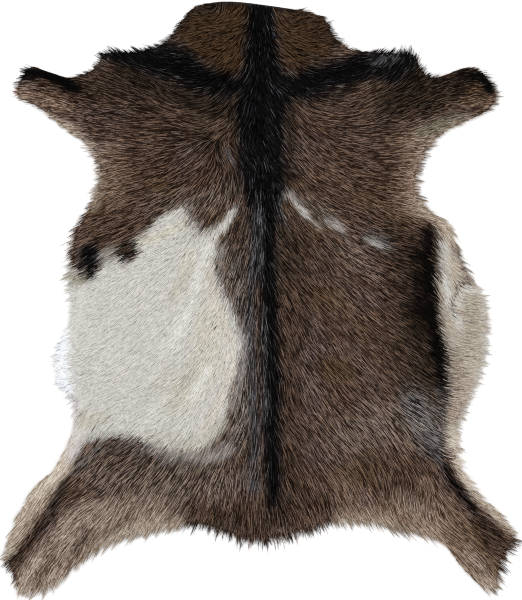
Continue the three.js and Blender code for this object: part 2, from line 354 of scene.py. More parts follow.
STRIPE_MARKS = [
    ("stripe edge", "dark brown", 9, 14, 0.7, [(262, 60), (262, 190), (270, 300), (274, 480)]),
    ("stripe", "black", 0, 11, 1,
     [(248, -5), (275, -5), (279, 60), (287, 100), (285, 150), (285, 192), (279, 230), (278, 300),
      (281, 400), (280, 470), (281, 522), (271, 524), (264, 470), (263, 400), (261, 300),
      (254, 240), (244, 196), (240, 150), (236, 110), (244, 60)]),
    ("stripe's heart", "deep black", 4, 10, 0.8, [(262, 30), (262, 190), (273, 300), (274, 500)]),
    ("charcoal by the stripe", "charcoal", 5, 10, 0.9,
     [(258, 205), (253, 250), (250, 320), (253, 400), (254, 490)]),
    # Painted sheen: blue-grey highlights on the stripe's black hair.
    ("light sheen in the stripe", "blue grey", 2, 7, 0.55, [(260, 216), (261, 250), (262, 280)]),
    ("blue sheen in the stripe", "blue grey", 2.5, 8, 0.45, [(264, 310), (266, 370), (266, 420)]),
    ("right border of the stripe", "brown black", 4, 12, 0.75,
     [(280, 214), (282, 248), (281, 272)]),
    # Painted sheen at the stripe's turn.
    ("blue sheen at the stripe's turn", "blue grey", 3, 7, 0.5, [(278, 200), (284, 222)]),
]
LEFT_FLANK_MARKS = [
    ("white side", "white", 0, 5, 1,
     [(50, 264), (64, 264), (76, 270), (84, 284), (94, 279), (103, 266), (110, 258), (118, 263),
      (130, 263), (138, 254), (134, 241), (146, 230), (157, 219), (171, 212), (182, 207), (188, 220),
      (195, 230), (203, 234), (213, 229), (226, 218), (241, 199), (237, 212), (227, 229),
      (216, 244), (215, 262), (215, 276), (219, 292), (228, 304), (235, 318), (239, 330),
      (242, 348), (239, 364), (233, 380), (229, 396), (226, 415), (221, 429), (212, 440),
      (201, 449), (184, 452), (165, 448), (150, 444), (135, 439), (120, 436), (104, 436),
      (90, 440), (76, 444), (58, 430), (48, 380), (48, 330)]),
    ("left loin's grey", "stripe grey", 6, 16, 0.4,
     [(234, 262), (240, 300), (246, 350), (242, 420), (236, 444)]),
    ("haze by the white", "bare grey", 1.5, 9, 0.5,
     [(222, 250), (219, 280), (228, 300), (244, 338), (245, 356), (239, 384), (232, 412)]),
    ("haze by the white's widest place", "bare grey", 2.5, 9, 0.6, [(246, 336), (247, 362)]),
    ("haze right of the white's peak", "bare grey", 2.5, 8, 0.55,
     [(186, 208), (192, 220), (199, 232)]),
    ("white border", "cream", 4, 8, 0.55,
     [(206, 264), (213, 300), (231, 340), (231, 365), (221, 400), (202, 432)]),
    ("yellowed side", "yellow white", 14, 20, 0.6, [(210, 320), (206, 370), (180, 398)]),
    ("yellowed belly", "yellow white", 5, 8, 0.7, [(82, 424), (100, 418)]),
    ("yellowed shoulder of the white", "yellow white", 4, 9, 0.8,
     [(144, 243), (166, 233), (184, 224)]),
    ("yellowed streak", "yellow white", 5, 12, 0.6, [(178, 292), (190, 256)]),
    # Painted shade in the white's hollows, along its foot and by the belly, and painted light on the
    # locks that catch the lamp.
    ("shade in the upper white", "shaded white", 4, 12, 0.6, [(190, 268), (172, 298)]),
    ("shade in the lower white", "shaded white", 5, 14, 0.85, [(190, 374), (168, 406)]),
    ("shade beside it", "shaded white", 4, 12, 0.5, [(168, 372), (148, 394)]),
    ("shade along the white's foot", "shaded white", 5, 12, 0.85,
     [(150, 438), (180, 446), (206, 440), (222, 422)]),
    ("shade by the belly", "shaded white", 5, 12, 0.6, [(76, 424), (102, 420)]),
    ("lit upper lock", "lit white", 3, 12, 0.9, [(208, 248), (196, 286)]),
    ("lit middle lock", "lit white", 4, 12, 0.9, [(190, 308), (174, 344)]),
    ("lit lower lock", "lit white", 4, 12, 0.9, [(210, 366), (194, 396)]),
    ("lit lock at the foot", "lit white", 4, 12, 0.5, [(170, 396), (146, 420)]),
    ("belly swell", "blue white", 8, 10, 1, [(62, 335), (60, 368), (66, 396)]),
    ("dark flank tuft", "black", 0, 8, 1,
     [(80, 246), (96, 246), (99, 254), (98, 264), (96, 274), (89, 281), (82, 275), (79, 260)]),
    ("small dark tuft", "brown black", 0, 7, 0.95,
     [(114, 248), (122, 241), (136, 242), (138, 251), (131, 262), (119, 262)]),
    ("pale gap between the tufts", "white", 3, 6, 0.5, [(112, 249), (103, 258)]),
    ("streaks by the small tuft", "grey brown", 2.5, 7, 0.5, [(130, 241), (148, 233)]),
    ("olive tip", "olive fawn", 6, 9, 0.8, [(58, 276), (78, 280)]),
    ("pale rim above it", "beige", 3, 7, 0.7, [(68, 238), (64, 262)]),
    ("bare belly edge", "bare grey", 7, 5, 1, [(72, 402), (68, 435), (58, 468), (48, 486)]),
    # Painted shade along the belly's crease.
    ("belly crease", "grey brown", 1, 2, 0.6, [(86, 404), (78, 428), (76, 444)]),
]
RIGHT_FLANK_MARKS = [
    ("right back streak's fan", "bare grey", 4, 9, 0.6, [(289, 197), (297, 203), (307, 216)]),
    ("right back streak", "white", 2, 4, 0.95, [(293, 201), (300, 208), (307, 217)]),
    ("right back streak's end", "bare grey", 1.5, 5, 0.6, [(306, 214), (320, 230)]),
    ("right back wisp", "bare grey", 3, 8, 0.7, [(326, 220), (341, 229)]),
    ("right back wisp's tail", "bare grey", 1.5, 5, 0.4, [(339, 228), (347, 240), (354, 250)]),
    ("right back wisp's trail", "grey brown", 7, 12, 0.6, [(350, 254), (376, 276)]),
    ("grey hairs beside the streak", "grey brown", 6, 14, 0.7, [(306, 202), (330, 216)]),
    ("right side fleck's halo", "stripe grey", 6, 12, 0.6, [(372, 238), (388, 246)]),
    ("right side fleck", "white", 2.5, 6, 0.9, [(369, 241), (381, 246)]),
    ("right loin", "dark brown", 14, 20, 0.5, [(300, 230), (320, 262)]),
    ("brown by the band", "brown black", 8, 22, 0.95,
     [(413, 244), (411, 300), (420, 350), (428, 384)]),
    ("black by the band", "deep black", 5, 14, 0.8, [(421, 254), (418, 290), (422, 326)]),
    ("flank band", "deep black", 0, 9, 1,
     [(424, 228), (434, 225), (435, 250), (436, 280), (438, 300), (442, 326), (448, 350), (450, 374),
      (450, 396), (441, 396), (434, 372), (427, 340), (423, 300), (421, 262)]),
    ("below the flank band", "charcoal", 5, 10, 0.8, [(444, 392), (443, 414)]),
    ("grey flank", "stripe grey", 14, 24, 0.75, [(414, 404), (424, 424), (434, 444)]),
    ("belly", "ivory", 0, 5, 1,
     [(437, 228), (452, 208), (478, 250), (504, 300), (504, 360), (490, 410), (474, 450),
      (447, 446), (450, 410), (452, 380), (449, 350), (441, 320), (439, 290), (440, 250)]),
    ("belly top", "beige", 8, 14, 0.85, [(424, 206), (442, 218), (454, 240)]),
    ("belly streak's root", "dark brown", 3, 6, 0.8, [(438, 232), (440, 252), (441, 274)]),
    ("belly inner edge", "white", 3, 5, 0.9, [(445, 244), (446, 280), (450, 304), (458, 322)]),
    # A painted highlight on the white streak along the belly roll's upper left side.
    ("belly streak's highlight", "white", 3, 4, 1, [(446, 280), (447, 294), (452, 310), (460, 324)]),
    ("belly lower edge", "fawn", 3, 7, 0.7, [(455, 352), (456, 380), (453, 420)]),
    ("belly foot", "fawn", 5, 10, 0.6, [(464, 376), (456, 412)]),
    ("belly rim", "white", 3, 8, 0.5, [(484, 300), (486, 350), (476, 390)]),
    ("belly shade", "grey brown", 5, 8, 0.75, [(458, 250), (464, 266), (468, 284)]),
    ("lobe's olive middle", "olive fawn", 5, 12, 0.5, [(472, 300), (474, 330), (472, 352)]),
    ("lobe's shaded edge", "grey brown", 1.8, 4, 0.9,
     [(453, 314), (452, 302), (456, 293), (462, 287)]),
    ("lobe's lit edge", "white", 2.2, 4, 1, [(458, 306), (460, 295), (468, 290), (482, 291)]),
]
HIND_MARKS = [
    ("grey under the white", "bare grey", 4, 14, 0.6,
     [(150, 448), (176, 456), (206, 457), (230, 450)]),
    ("left smudge", "charcoal", 6, 14, 0.45, [(112, 448), (130, 449), (150, 456), (182, 464)]),
    ("haze along the white's foot", "stripe grey", 2, 10, 0.4,
     [(86, 436), (100, 432), (122, 434), (150, 444)]),
    ("bare strip above the left leg", "bare grey", 5, 6, 0.9, [(81, 441), (75, 451), (66, 464)]),
    ("left outer leg", "beige", 13, 8, 1, [(58, 466), (38, 494), (16, 525), (0, 548)]),
    ("left outer leg, inner side", "fawn", 4, 8, 0.7, [(52, 486), (34, 514), (16, 538)]),
    ("left outer leg, upper", "cream", 5, 9, 0.6, [(68, 442), (62, 462), (50, 480), (36, 494)]),
    ("left outer leg, edge", "beige", 3, 9, 0.8, [(36, 486), (18, 512), (4, 540)]),
    ("left inner leg", "fawn", 0, 14, 0.85,
     [(66, 510), (90, 500), (112, 506), (116, 524), (90, 552), (50, 600), (14, 604), (30, 560)]),
    ("left hock", "olive brown", 5, 8, 0.6, [(104, 532), (92, 546)]),
    ("left hock shade", "dark brown", 4, 7, 0.7, [(86, 534), (76, 552)]),
    ("left leg, lower edge", "beige", 9, 12, 0.85,
     [(112, 552), (86, 568), (62, 590), (30, 602), (6, 590)]),
    ("left leg stripe, upper", "stripe grey", 3, 9, 0.7, [(101, 448), (87, 459), (75, 472)]),
    ("left leg stripe", "black", 2.5, 6, 0.75, [(66, 480), (60, 490), (56, 500), (52, 510)]),
    ("left leg stripe, lower", "brown black", 2.5, 8, 0.75,
     [(53, 506), (48, 520), (34, 536), (21, 550), (13, 562)]),
    ("left leg stripe's end", "brown black", 4, 10, 0.25, [(20, 550), (14, 562)]),
    ("left foot", "fawn", 6, 10, 0.65, [(14, 588), (24, 570), (36, 556)]),
    ("left foot's dark strand", "olive brown", 2.5, 7, 0.6, [(38, 584), (50, 560), (56, 540)]),
    ("left foot's pale strand", "beige", 3, 7, 0.8, [(18, 596), (26, 576), (38, 557)]),
    ("left rump edge", "beige", 12, 16, 0.85, [(108, 546), (138, 534), (176, 530)]),
    ("rump", "dark brown", 12, 16, 0.8, [(195, 522), (262, 528), (300, 500), (325, 505)]),
    ("rump by the stripe", "dark brown", 8, 16, 0.7, [(292, 440), (296, 500)]),
    ("right rump edge", "tan", 7, 18, 0.85, [(345, 516), (400, 512), (436, 532)]),
    ("right thigh's light strands", "fawn", 6, 20, 0.7, [(402, 500), (422, 514), (438, 528)]),
    ("right thigh's pale rim", "beige", 10, 14, 0.7, [(346, 526), (384, 529), (434, 545)]),
    ("right outer leg", "beige", 8, 6, 1, [(456, 440), (466, 472), (486, 500), (518, 530)]),
    ("right outer leg's edge", "cream", 5, 6, 0.9, [(454, 436), (459, 458), (472, 482)]),
    ("right inner leg", "tan", 0, 14, 0.6,
     [(425, 500), (450, 500), (480, 540), (505, 560), (495, 604), (470, 604), (430, 550)]),
    ("right leg, lower", "olive brown", 0, 14, 0.6,
     [(462, 524), (480, 528), (508, 556), (500, 600), (486, 600), (470, 560)]),
    ("right leg's lower edge", "beige", 8, 12, 0.85,
     [(434, 546), (454, 570), (474, 594), (498, 602)]),
    ("right leg tip", "fawn", 6, 14, 0.8, [(468, 552), (482, 572), (494, 594)]),
    ("right leg's end", "beige", 7, 10, 0.8, [(480, 592), (500, 586)]),
    ("right leg stripe's root", "charcoal", 3, 8, 0.8, [(428, 442), (442, 464)]),
    ("light strands above the right leg", "tan", 6, 14, 0.6, [(424, 486), (440, 496)]),
    ("right leg stripe", "deep black", 3, 5, 1, [(446, 470), (455, 484), (464, 498), (476, 512)]),
    ("right leg stripe's end", "brown black", 3.5, 7, 1, [(476, 512), (488, 526), (500, 538)]),
    ("right leg stripe's spread", "dark brown", 9, 12, 0.8, [(492, 534), (504, 550)]),
]


def on_hide(points):
    """Places read in the photograph's pixels, as metres on the hide"""
    return (np.asarray(points, float) - CENTRE_PIXEL) * (PIXEL, -PIXEL)


# The edge of every mark wanders in and out by up to this much, so that it isn't ruled
EDGE_WANDER = 0.0035
EDGE_PITCH = 0.011
EDGE_SEED = 5
# The brown ground isn't even: clouds of greyer and of warmer hair drift through it.
# Columns: hair colour, pitch in metres, seed, strength.
CLOUD_EDGE = (-0.1, 0.9)
GROUND_HUES = [
    ("lilac brown", 0.042, 31, 0.7), ("olive brown", 0.055, 32, 0.9), ("grey brown", 0.065, 33, 0.2),
    ("dark brown", 0.033, 34, 0.2),
]
hair_dark = np.zeros((*grid_x.shape, 3))
hair_light = np.zeros((*grid_x.shape, 3))
hair_bias = np.zeros(grid_x.shape)


def paint(colour, mask):
    """Turn the hair towards a colour as far as the mask says"""
    dark, light, bias = HAIR[colour]
    hair_dark[:] += (np.array(linear(dark)) - hair_dark) * mask[..., None]
    hair_light[:] += (np.array(linear(light)) - hair_light) * mask[..., None]
    hair_bias[:] += (bias - hair_bias) * mask


paint("mid brown", np.ones(grid_x.shape))
for colour, pitch, kind, strength in GROUND_HUES:
    paint(colour, strength * smooth(uneven(grid_x, grid_y, pitch, kind), *CLOUD_EDGE))
wander = EDGE_WANDER * uneven(grid_x, grid_y, EDGE_PITCH, EDGE_SEED)
for _, colour, half_width, softness, strength, points in (
    GROUND_MARKS + NECK_MARKS + SHOULDER_MARKS + FORELEG_MARKS + LEFT_FLANK_MARKS + STRIPE_MARKS
    + RIGHT_FLANK_MARKS + HIND_MARKS
):
    places = on_hide(points)
    if half_width:
        depth = half_width * PIXEL - distance_to_line(grid_x, grid_y, places)
    else:
        depth = depth_inside(grid_x, grid_y, places)
    edge = softness * PIXEL / 2
    paint(colour, strength * smooth(depth + wander, -edge, edge))


# The net's points keep this share of a face clear of the cut edge, so that no face there is a sliver
NET_CLEARANCE = 0.6
FILL_INSIDE = 1
NEAREST_POINTS = 1e-7


def skin_mesh():
    """The skin's two faces and its cut edge, closed, from an even net inside the rim"""
    tangent = np.roll(rim, -1, 0) - np.roll(rim, 1, 0)
    inward = np.stack([-tangent[:, 1], tangent[:, 0]], 1)
    inward /= np.linalg.norm(inward, axis=1)[:, None]
    edge = rim + inward * SKIN_EDGE_INSET
    step = SKIN_FACE_SIZE
    net_x, net_y = np.meshgrid(
        np.arange(grid_x.min(), grid_x.max(), step), np.arange(grid_y.min(), grid_y.max(), step),
    )
    keep = read(rim_depth, net_x, net_y) > SKIN_EDGE_INSET + NET_CLEARANCE * step
    flat = [tuple(p) for p in edge] + list(zip(net_x[keep], net_y[keep]))
    hem = [list(range(len(edge)))]
    places, _, faces, *_ = delaunay_2d_cdt(flat, [], hem, FILL_INSIDE, NEAREST_POINTS)
    places = np.array([tuple(p) for p in places])
    lift = read(skin_lift, places[:, 0], places[:, 1])
    lower = np.column_stack([places, lift])
    upper = lower + (0, 0, SKIN_THICKNESS)
    count = len(places)
    walls = {}
    for face in faces:
        for a, b in zip(face, face[1:] + face[:1]):
            walls[(a, b)] = walls.get((a, b), 0) + 1
    sides = [(a, a + count, b + count, b) for a, b in walls if (b, a) not in walls]
    mesh = bpy.data.meshes.new("skin")
    mesh.from_pydata(
        np.concatenate([lower, upper]).tolist(),
        [],
        [tuple(reversed(f)) for f in faces] + [tuple(i + count for i in f) for f in faces]
        + [tuple(reversed(side)) for side in sides],
    )
    colours = np.ones((2 * count, 4))
    colours[:, :3] = np.tile(read(hair_dark, places[:, 0], places[:, 1]), (2, 1))
    stain = mesh.color_attributes.new("root_stain", "FLOAT_COLOR", "POINT")
    stain.data.foreach_set("color", colours.ravel())
    hair_side = mesh.attributes.new("hair_side", "FLOAT", "POINT")
    hair_side.data.foreach_set("value", np.repeat([0.0, 1.0], count))
    mesh.polygons.foreach_set("use_smooth", [True] * (2 * len(faces)) + [False] * len(sides))
    return mesh


skin = bpy.data.objects.new("skin", skin_mesh())
bpy.context.collection.objects.link(skin)


def add_node(material, kind, settings=None, values=None, links=None):
    """One node with its settings, its sockets' values and the outputs that feed it"""
    node = material.node_tree.nodes.new(kind)
    for name, value in (settings or {}).items():
        setattr(node, name, value)
    for socket, value in (values or {}).items():
        node.inputs[socket].default_value = value
    for socket, output in (links or {}).items():
        material.node_tree.links.new(output, node.inputs[socket])
    return node


def fresh_material(name):
    """A material with only its output, and that output's node"""
    material = bpy.data.materials.new(name)
    material.use_nodes = True
    material.node_tree.nodes.clear()
    return material, add_node(material, "ShaderNodeOutputMaterial")


# Chrome-tanned goat leather: the flesh side is a pale, matt suede nap with faint darker veins, and
# the hair side is stained by the roots of the hair, so no gap in the coat shows pale.
SUEDE_PALE = "#d2bb9c"
SUEDE_DARK = "#a98c6c"
NAP_SIZE = 0.0012
VEIN_SIZE = 0.06
leather, output = fresh_material("chrome_tanned_goat_suede")
place = add_node(leather, "ShaderNodeTexCoord")
nap = add_node(
    leather, "ShaderNodeTexNoise", values={"Scale": 1 / NAP_SIZE, "Detail": 3.0},
    links={"Vector": place.outputs["Object"]},
)
veins = add_node(
    leather, "ShaderNodeTexNoise",
    values={"Scale": 1 / VEIN_SIZE, "Detail": 6.0, "Roughness": 0.6, "Distortion": 1.4},
    links={"Vector": place.outputs["Object"]},
)
suede = add_node(
    leather, "ShaderNodeMix", settings={"data_type": "RGBA"},
    values={6: (*linear(SUEDE_PALE), 1), 7: (*linear(SUEDE_DARK), 1)},
    links={0: veins.outputs["Fac"]},
)
napped = add_node(
    leather, "ShaderNodeMix", settings={"data_type": "RGBA", "blend_type": "MULTIPLY"},
    values={0: 0.25}, links={6: suede.outputs[2], 7: nap.outputs["Color"]},
)
stain = add_node(leather, "ShaderNodeAttribute", settings={"attribute_name": "root_stain"})
upper_side = add_node(leather, "ShaderNodeAttribute", settings={"attribute_name": "hair_side"})
stained = add_node(
    leather, "ShaderNodeMix", settings={"data_type": "RGBA"},
    links={0: upper_side.outputs["Fac"], 6: napped.outputs[2], 7: stain.outputs["Color"]},
)
nap_relief = add_node(
    leather, "ShaderNodeBump", values={"Strength": 0.4, "Distance": 0.0004},
    links={"Height": nap.outputs["Fac"]},
)
surface = add_node(
    leather, "ShaderNodeBsdfPrincipled", values={"Roughness": 0.92, "IOR": 1.5},
    links={"Base Color": stained.outputs[2], "Normal": nap_relief.outputs["Normal"]},
)
leather.node_tree.links.new(surface.outputs["BSDF"], output.inputs["Surface"])
skin.data.materials.append(leather)
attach(skin, "root")
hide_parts("goatskin")


# The coat: goat hair 17 to 36 mm long, each hair rooted in the skin and lying over the roots of the
# next ones, away from the spine and down the legs. It hangs together in thin locks with pointed
# tips. The soft short undercoat lies below, and single stiff guard hairs lie over the top.
COAT_HEIGHT = 0.0105
RIM_COAT_HEIGHT = 0.004
RIM_FADE = 0.036
FOLD_SHARE_AT_RIM = 0.4
LEAST_COAT_HEIGHT = 0.003
TIP_HEIGHT_PAST_RIM = 0.0012
FALL_PAST_RIM = 0.014

inside = smooth(rim_depth, 0, RIM_FADE)
coat_height = RIM_COAT_HEIGHT + (COAT_HEIGHT - RIM_COAT_HEIGHT + swell_rise) * inside
coat_height += fold_rise * (FOLD_SHARE_AT_RIM + (1 - FOLD_SHARE_AT_RIM) * inside)
coat_height = np.maximum(coat_height, LEAST_COAT_HEIGHT)
past_rim = smooth(-rim_depth, 0, FALL_PAST_RIM)
coat_height += (TIP_HEIGHT_PAST_RIM - coat_height) * past_rim

# Which way the hair lies, read in the photograph's pixels.
# Columns: x, y, direction (0 is to the hide's right, 90 to its neck).
NECK_LIE = [
    (200, 10, 140), (185, 25, 190), (215, 35, 190), (235, 25, 205), (210, 50, 200), (225, 60, 215),
    (245, 50, 250), (262, 20, 270), (262, 60, 270), (282, 20, 305), (300, 20, 35), (320, 22, 30),
    (330, 30, 5), (300, 40, 345), (285, 60, 315), (320, 55, 350),
]
LEFT_SHOULDER_LIE = [
    (175, 36, 200), (155, 52, 145), (120, 52, 140), (190, 70, 182), (170, 62, 172), (230, 90, 230),
    (140, 70, 160), (110, 70, 160), (160, 95, 150), (130, 135, 180), (105, 150, 182),
    (120, 175, 192), (160, 140, 182), (150, 165, 198), (140, 195, 203), (180, 180, 215),
    (195, 160, 220), (185, 125, 165), (215, 120, 205), (235, 120, 245), (232, 158, 300),
    (215, 185, 243), (240, 190, 262), (200, 210, 232), (225, 215, 250),
]
RIGHT_SHOULDER_LIE = [
    (340, 50, 345), (365, 52, 5), (325, 75, 0), (365, 75, 25), (390, 60, 45), (410, 50, 80),
    (405, 75, 40), (290, 80, 320), (275, 110, 290), (295, 130, 305), (295, 110, 310),
    (320, 150, 322), (330, 115, 345), (350, 105, 12), (345, 135, 345), (370, 110, 20),
    (380, 135, 2), (400, 150, 0), (370, 165, 345), (400, 185, 348), (340, 185, 328),
    (300, 170, 315), (300, 210, 312), (350, 220, 330), (400, 215, 345), (280, 200, 285),
]
FORELEG_LIE = [
    (40, 72, 170), (25, 85, 178), (40, 95, 165), (70, 100, 160), (90, 125, 168), (100, 90, 160),
    (130, 110, 165), (450, 80, 15), (480, 80, 5), (490, 100, 0), (455, 105, 10), (430, 125, 15),
    (440, 95, 15), (400, 100, 20), (420, 110, 15),
]
LEFT_FLANK_LIE = [
    (80, 225, 205), (110, 215, 200), (150, 230, 208), (90, 260, 218), (130, 255, 210),
    (110, 300, 218), (160, 290, 222), (200, 280, 232), (200, 330, 232), (150, 350, 222),
    (100, 350, 215), (65, 365, 200), (70, 395, 210), (110, 400, 212), (160, 400, 215),
    (205, 400, 240), (225, 350, 250), (230, 270, 255), (235, 330, 262), (225, 430, 245),
    (76, 425, 245),
]
RIGHT_FLANK_LIE = [
    (300, 260, 308), (330, 300, 310), (330, 360, 310), (370, 300, 318), (370, 260, 325),
    (400, 240, 345), (420, 300, 335), (420, 350, 322), (380, 400, 315), (430, 420, 318),
    (300, 420, 302), (290, 340, 292), (445, 240, 300), (448, 290, 295), (452, 325, 320),
    (470, 310, 355), (470, 350, 355), (465, 390, 358), (455, 420, 350), (465, 250, 320),
    (470, 275, 320),
]
HIND_LIE = [
    (120, 450, 215), (90, 465, 225), (160, 465, 228), (200, 470, 243), (130, 500, 237),
    (170, 510, 240), (80, 500, 213), (70, 525, 222), (40, 550, 232), (25, 575, 238),
    (60, 570, 238), (100, 535, 235), (20, 520, 232), (45, 490, 238), (60, 460, 235),
    (220, 520, 255), (262, 530, 270), (262, 400, 270), (245, 480, 262), (300, 500, 300),
    (330, 460, 305), (360, 500, 298), (400, 500, 276), (425, 505, 272), (400, 450, 308),
    (440, 470, 300), (455, 490, 310), (455, 530, 318), (480, 560, 312), (490, 585, 308),
    (500, 545, 325), (510, 530, 330), (480, 510, 322), (385, 525, 300), (420, 535, 308),
]
# Nearer guides count for more, and a guide's own spot is this wide
GUIDE_SPOT = 0.012
GUIDE_FALL = 4
# Waves in the lie: pitch in metres and swing in degrees
LIE_WAVES = [(0.05, 5), (0.018, 6)]
WAVE_SEED = 11

lie_guides = [
    (*on_hide([(x, y)])[0], math.radians(turn))
    for x, y, turn in NECK_LIE + LEFT_SHOULDER_LIE + RIGHT_SHOULDER_LIE + FORELEG_LIE
    + LEFT_FLANK_LIE + RIGHT_FLANK_LIE + HIND_LIE
] + [(x * MM, y * MM, math.radians(turn)) for x, y, turn, _ in RIM_ROWS]


def spread_from(guides):
    """A field that blends the guides' values, each strongest near its own place"""
    total = np.zeros(grid_x.shape)
    field = np.zeros((*grid_x.shape, len(guides[0]) - 2))
    for x, y, *values in guides:
        gap = (grid_x - x) ** 2 + (grid_y - y) ** 2 + GUIDE_SPOT**2
        weight = gap ** (-GUIDE_FALL / 2)
        total += weight
        field += weight[..., None] * np.array(values)
    return field / total[..., None]


lie = spread_from([(x, y, math.cos(turn), math.sin(turn)) for x, y, turn in lie_guides])
lie_turn = np.arctan2(lie[..., 1], lie[..., 0])
for wave, (pitch, degrees) in enumerate(LIE_WAVES):
    lie_turn += math.radians(degrees) * uneven(grid_x, grid_y, pitch, WAVE_SEED + wave)
lie = np.stack([np.cos(lie_turn), np.sin(lie_turn)], -1)
rim_reach = spread_from([(x * MM, y * MM, reach * MM) for x, y, _, reach in RIM_ROWS])[..., 0]

# Length of the coat, in millimetres, at a few places on the animal in the photograph's pixels
LENGTHS = [
    ("neck", 220, 30, 17), ("neck", 300, 30, 17), ("withers", 262, 110, 26),
    ("left shoulder", 160, 130, 24), ("right shoulder", 360, 130, 24),
    ("left foreleg", 45, 92, 17), ("right foreleg", 470, 95, 17),
    ("left side", 150, 330, 36), ("left belly", 70, 360, 30), ("back", 265, 330, 28),
    ("right side", 350, 320, 28), ("right belly", 465, 330, 26), ("rump", 262, 490, 32),
    ("left thigh", 140, 480, 32), ("right thigh", 390, 470, 32),
    ("left hind leg", 40, 550, 28), ("right hind leg", 485, 550, 28),
]
hair_length = spread_from([
    (*on_hide([(x, y)])[0], length * MM) for _, x, y, length in LENGTHS
])[..., 0]


# Streaks of lighter and darker hair that run with the lie, in metres: width and length
STREAKS = {"fine": (0.00075, 0.034), "broad": (0.0026, 0.05)}
# Each streak stands out, by the second number, from the hair this many streaks' widths beside it
STREAK_GAP = 2
STREAK_SHARPNESS = 0.95
STREAK_SEED = 50


def streak_field(width, length, seed):
    """Random light and dark drawn out along the lie of the hair, with a spread of 1"""
    size = np.ceil(np.array(grid_x.shape) * GRID_STEP / width).astype(int)
    specks = np.random.default_rng(seed).normal(0, 1, size)
    x, y = np.meshgrid(
        grid_low[0] + np.arange(size[0]) * width, grid_low[1] + np.arange(size[1]) * width,
        indexing="ij",
    )
    total = specks.copy()
    steps = round(length / 2 / width)
    for way in (1, -1):
        here_x, here_y = x, y
        for _ in range(steps):
            i = np.clip((here_x - grid_low[0]) / GRID_STEP, 0, grid_x.shape[0] - 1).astype(int)
            j = np.clip((here_y - grid_low[1]) / GRID_STEP, 0, grid_x.shape[1] - 1).astype(int)
            here_x = here_x + way * width * lie[i, j, 0]
            here_y = here_y + way * width * lie[i, j, 1]
            column = np.clip(np.rint((here_x - grid_low[0]) / width), 0, size[0] - 1).astype(int)
            row = np.clip(np.rint((here_y - grid_low[1]) / width), 0, size[1] - 1).astype(int)
            total += specks[column, row]
    around = sum(
        np.roll(total, shift, axis) for shift in (STREAK_GAP, -STREAK_GAP) for axis in (0, 1)
    ) / 4
    total -= STREAK_SHARPNESS * around
    return total / total.std()


streaks = {
    name: streak_field(width, length, STREAK_SEED + index)
    for index, (name, (width, length)) in enumerate(STREAKS.items())
}


def streak_at(name, x, y):
    """How light the streaks of one kind are at each place"""
    return read(streaks[name], x, y, STREAKS[name][0])


# A lock's width at its root, the share of it left at the tip, and how far its middle hairs stand
# up, in half a wave that is this many times as long as the hair
LOCK_WIDTH = 0.0026
LOCK_TIP_SHARE = 0.35
LOCK_CROWN = 0.0003
LOCK_CROWN_LENGTH = 1.25
# A hair is a narrow blade: its width at three places on its length, and a point at its tip
STRAND_WIDTHS = (0.0008, 0.0009, 0.0007)
STRAND_STATIONS = (0.0, 0.36, 0.7, 1.0)
STRAND_CORNERS = 7
PATH_STEPS = 10
ROOT_INSET = 0.002
# A hair ends past the rim by a share of the rim's own reach there and a little more. The share is
# below zero for most hairs, high for a few wisps, and higher in some locks than in others.
REACH_GROWTH = 0.0036
SHORTEST_REACH = -0.25
REACH_SPREAD = 2.3
WISPINESS = 4
TUFT_REACH = (0.7, 1.15)
LEAST_SHARE = 0.1

# Layers of the coat from the skin up, each over the whole hide: the number of locks and the hairs
# in each, the hairs' length, height and width as shares of the coat's own, how light they are, how
# much that differs from hair to hair, and how far they stray from the lie, in degrees.
LAYERS = [
    {"name": "undercoat", "locks": 37400, "hairs": 1, "length": 0.62, "height": 0.82,
     "tone": -0.7, "speckle": 0.3, "wide": 1.8, "tangle": 12},
    {"name": "coat_lower", "locks": 9350, "hairs": 4, "length": 0.95, "height": 0.92,
     "tone": -0.4, "speckle": 0.4, "wide": 1.1, "tangle": 5},
    {"name": "coat_middle", "locks": 9350, "hairs": 4, "length": 1.0, "height": 0.96,
     "tone": -0.3, "speckle": 0.55, "wide": 0.95, "tangle": 4},
    {"name": "coat_upper", "locks": 9350, "hairs": 4, "length": 1.0, "height": 1.0,
     "tone": -0.2, "speckle": 0.75, "wide": 0.85, "tangle": 4},
    {"name": "guard_hairs", "locks": 37400, "hairs": 1, "length": 1.15, "height": 1.04,
     "tone": 0.7, "speckle": 0.8, "wide": 0.65, "tangle": 6},
]
# Spreads from lock to lock and from hair to hair: the bow in metres, the rolls in degrees, and the
# rest as shares
LENGTH_SPREAD = 0.22
HEIGHT_SPREAD = 0.035
HAIR_HEIGHT_SPREAD = 0.05
HAIR_LENGTHS = (0.78, 1.0)
HAIR_WIDTHS = (0.75, 1.25)
TANGLE_SPREAD = 0.6
PLACE_SPREAD = 0.25
ROOT_SLIDE = 0.06
HAIR_BOW = 0.0006
LOCK_ROLL = 12
HAIR_ROLL = 9
# A hair leaves the skin steeply and then lies down, and never dips into the floor
RISE_ROUNDING = 4
STREAK_HEIGHT = 0.03
FLOOR_LIFT = 0.0006
LOWEST_TIP = 0.0005
LOWEST_EDGE = 0.0002
# White hair is coarser and lies smoother than dark hair
PALE_SLEEKNESS = 0.9
PALE_FULLNESS = 1.5
# What makes a hair lighter or darker than its region, and how sharply
BROAD_STREAK_TONE = 0.05
FINE_STREAK_TONE = 0.6
LOCK_TONE_SPREAD = 0.06
CLUMP_PITCH = 0.02
CLUMP_TONE = 0.03
CLUMP_SEED = 21
TONE_GAIN = 3
HUE_SPREAD = 0.09
# A hair takes its colour from between these shares of its length, give or take so many metres
COLOUR_PLACES = (0.5, 1.0)
STRAY = 0.0018


